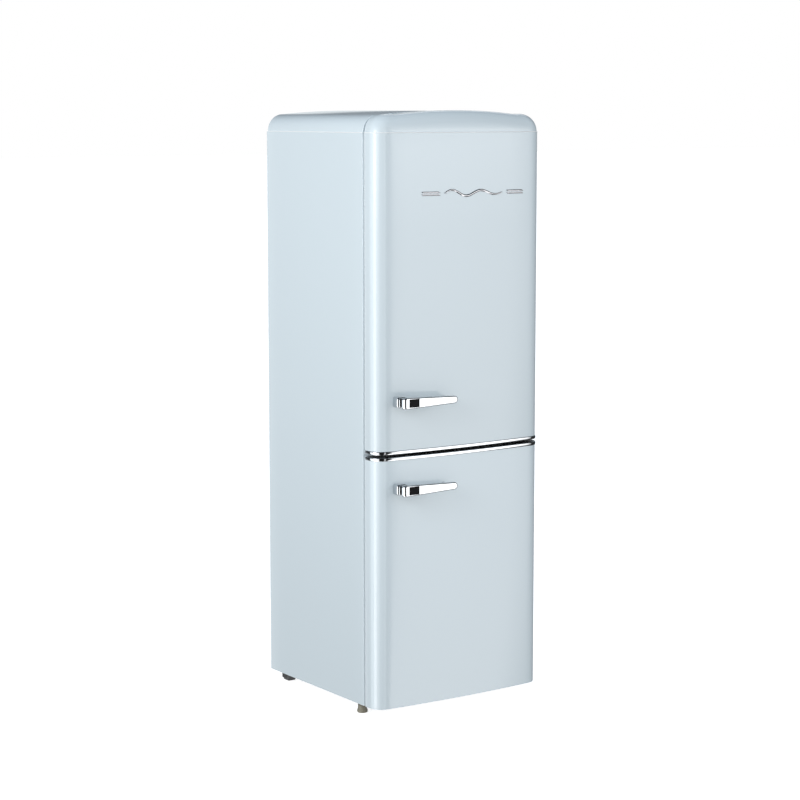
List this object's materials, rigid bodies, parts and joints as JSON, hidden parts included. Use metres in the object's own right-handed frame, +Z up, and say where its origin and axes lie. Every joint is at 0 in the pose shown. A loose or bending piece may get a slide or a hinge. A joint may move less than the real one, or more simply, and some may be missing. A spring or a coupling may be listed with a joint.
{
  "type": "bottom freezer refrigerator",
  "caption": "Retro two-door refrigerator with rounded shoulders, chrome lever handles, chrome split trims, glass shelves and freezer drawers.",
  "frame": {"origin": "on the floor, under the middle of the overall width and depth", "axes": "+Z up, +X to the right when facing the doors, doors face -Y"},
  "size_m": [0.554, 0.63, 1.634],
  "materials": {
    "powder_paint": "gloss",
    "powder_plastic": "gloss",
    "zinc_steel": "satin",
    "pu_foam": "matt",
    "liner_plastic": "satin",
    "shelf_glass": "clear",
    "lens_plastic": "frosted",
    "clear_plastic": "clear",
    "evaporator_aluminium": "satin",
    "black_enamel": "satin",
    "black_rubber": "matt",
    "black_plastic": "satin",
    "copper_pipe": "satin",
    "foot_plastic": "satin",
    "rear_foot_plastic": "satin",
    "gasket_rubber": "satin",
    "bright_chrome": "polished",
    "badge_metal": "polished",
    "bush_plastic": "satin"
  },
  "bodies": {
    "cabinet": {"side_panel_left": "powder_paint", "side_panel_right": "powder_paint", "top_cover": "powder_plastic", "back_panel": "zinc_steel", "base_plate": "zinc_steel", "front_rails": "powder_paint", "foam_insulation": "pu_foam", "fresh_food_liner": "liner_plastic", "freezer_liner": "liner_plastic", "hinge_top": "zinc_steel", "hinge_middle": "zinc_steel", "hinge_bottom": "zinc_steel", "hinge_screws": "zinc_steel", "glass_shelves": "shelf_glass", "shelf_trims": "liner_plastic", "control_housing": "liner_plastic", "lamp_lens": "lens_plastic", "evaporator_plates": "evaporator_aluminium", "compressor": "black_enamel", "compressor_mounts": "black_rubber", "relay_box": "black_plastic", "drip_tray": "black_plastic", "condenser_coil": "black_enamel", "condenser_wires": "black_enamel", "refrigerant_pipes": "copper_pipe", "rear_feet": "rear_foot_plastic"},
    "upper_door": {"upper_door_skin": "powder_paint", "upper_door_cap": "powder_plastic", "upper_door_base": "black_plastic", "upper_door_foam": "pu_foam", "upper_door_liner": "liner_plastic", "upper_door_gasket": "gasket_rubber", "upper_door_trim": "bright_chrome", "upper_door_bushes": "bush_plastic", "upper_handle_base": "bright_chrome", "upper_handle_lever": "bright_chrome", "upper_handle_inlay": "black_plastic", "badge": "badge_metal", "top_bin": "clear_plastic", "middle_bin": "clear_plastic", "bottle_bin": "clear_plastic"},
    "lower_door": {"lower_door_skin": "powder_paint", "lower_door_top": "black_plastic", "lower_door_base": "liner_plastic", "lower_door_foam": "pu_foam", "lower_door_liner": "liner_plastic", "lower_door_gasket": "gasket_rubber", "lower_door_trim": "bright_chrome", "lower_door_bushes": "bush_plastic", "lower_handle_base": "bright_chrome", "lower_handle_lever": "bright_chrome", "lower_handle_inlay": "black_plastic"},
    "crisper": {"crisper_drawer": "clear_plastic"},
    "freezer_drawer_top": {"top_freezer_drawer": "clear_plastic"},
    "freezer_drawer_middle": {"middle_freezer_drawer": "clear_plastic"},
    "freezer_drawer_bottom": {"bottom_freezer_drawer": "clear_plastic"},
    "foot_left": {"front_foot_left": "foot_plastic"},
    "foot_right": {"front_foot_right": "foot_plastic"},
    "knob": {"thermostat_knob": "liner_plastic"},
    "switch_plunger": {"light_switch": "liner_plastic"}
  },
  "joints": [
    {"name": "upper_door_hinge", "type": "hinge", "parent": "cabinet", "child": "upper_door", "pos_m": [0.262, -0.222, 1.15], "axis": [0, 0, 1], "range_deg": [0, 120]},
    {"name": "lower_door_hinge", "type": "hinge", "parent": "cabinet", "child": "lower_door", "pos_m": [0.262, -0.222, 0.375], "axis": [0, 0, 1], "range_deg": [0, 120]},
    {"name": "crisper_slide", "type": "slide", "parent": "cabinet", "child": "crisper", "axis": [0, -1, 0], "range_m": [0, 0.2]},
    {"name": "freezer_drawer_top_slide", "type": "slide", "parent": "cabinet", "child": "freezer_drawer_top", "axis": [0, -1, 0], "range_m": [0, 0.22]},
    {"name": "freezer_drawer_middle_slide", "type": "slide", "parent": "cabinet", "child": "freezer_drawer_middle", "axis": [0, -1, 0], "range_m": [0, 0.22]},
    {"name": "freezer_drawer_bottom_slide", "type": "slide", "parent": "cabinet", "child": "freezer_drawer_bottom", "axis": [0, -1, 0], "range_m": [0, 0.22]},
    {"name": "light_switch_slide", "type": "slide", "parent": "cabinet", "child": "switch_plunger", "axis": [0, -1, 0], "range_m": [0, 0.006]},
    {"name": "thermostat_turn", "type": "hinge", "parent": "cabinet", "child": "knob", "pos_m": [0.068, -0.104, 1.5], "axis": [0, 0, 1], "range_deg": [0, 270]},
    {"name": "foot_left_turn", "type": "hinge", "parent": "cabinet", "child": "foot_left", "pos_m": [-0.247, -0.146, 0.02], "axis": [0, 0, 1], "continuous": true},
    {"name": "foot_right_turn", "type": "hinge", "parent": "cabinet", "child": "foot_right", "pos_m": [0.247, -0.146, 0.02], "axis": [0, 0, 1], "continuous": true}
  ],
  "couplings": [
    {"joint": "crisper_slide", "follows": "upper_door_hinge", "m_per_rad": 0.0954},
    {"joint": "light_switch_slide", "follows": "upper_door_hinge", "m_per_rad": 0.0028},
    {"joint": "freezer_drawer_top_slide", "follows": "lower_door_hinge", "m_per_rad": 0.105},
    {"joint": "freezer_drawer_middle_slide", "follows": "lower_door_hinge", "m_per_rad": 0.105},
    {"joint": "freezer_drawer_bottom_slide", "follows": "lower_door_hinge", "m_per_rad": 0.105}
  ]
}
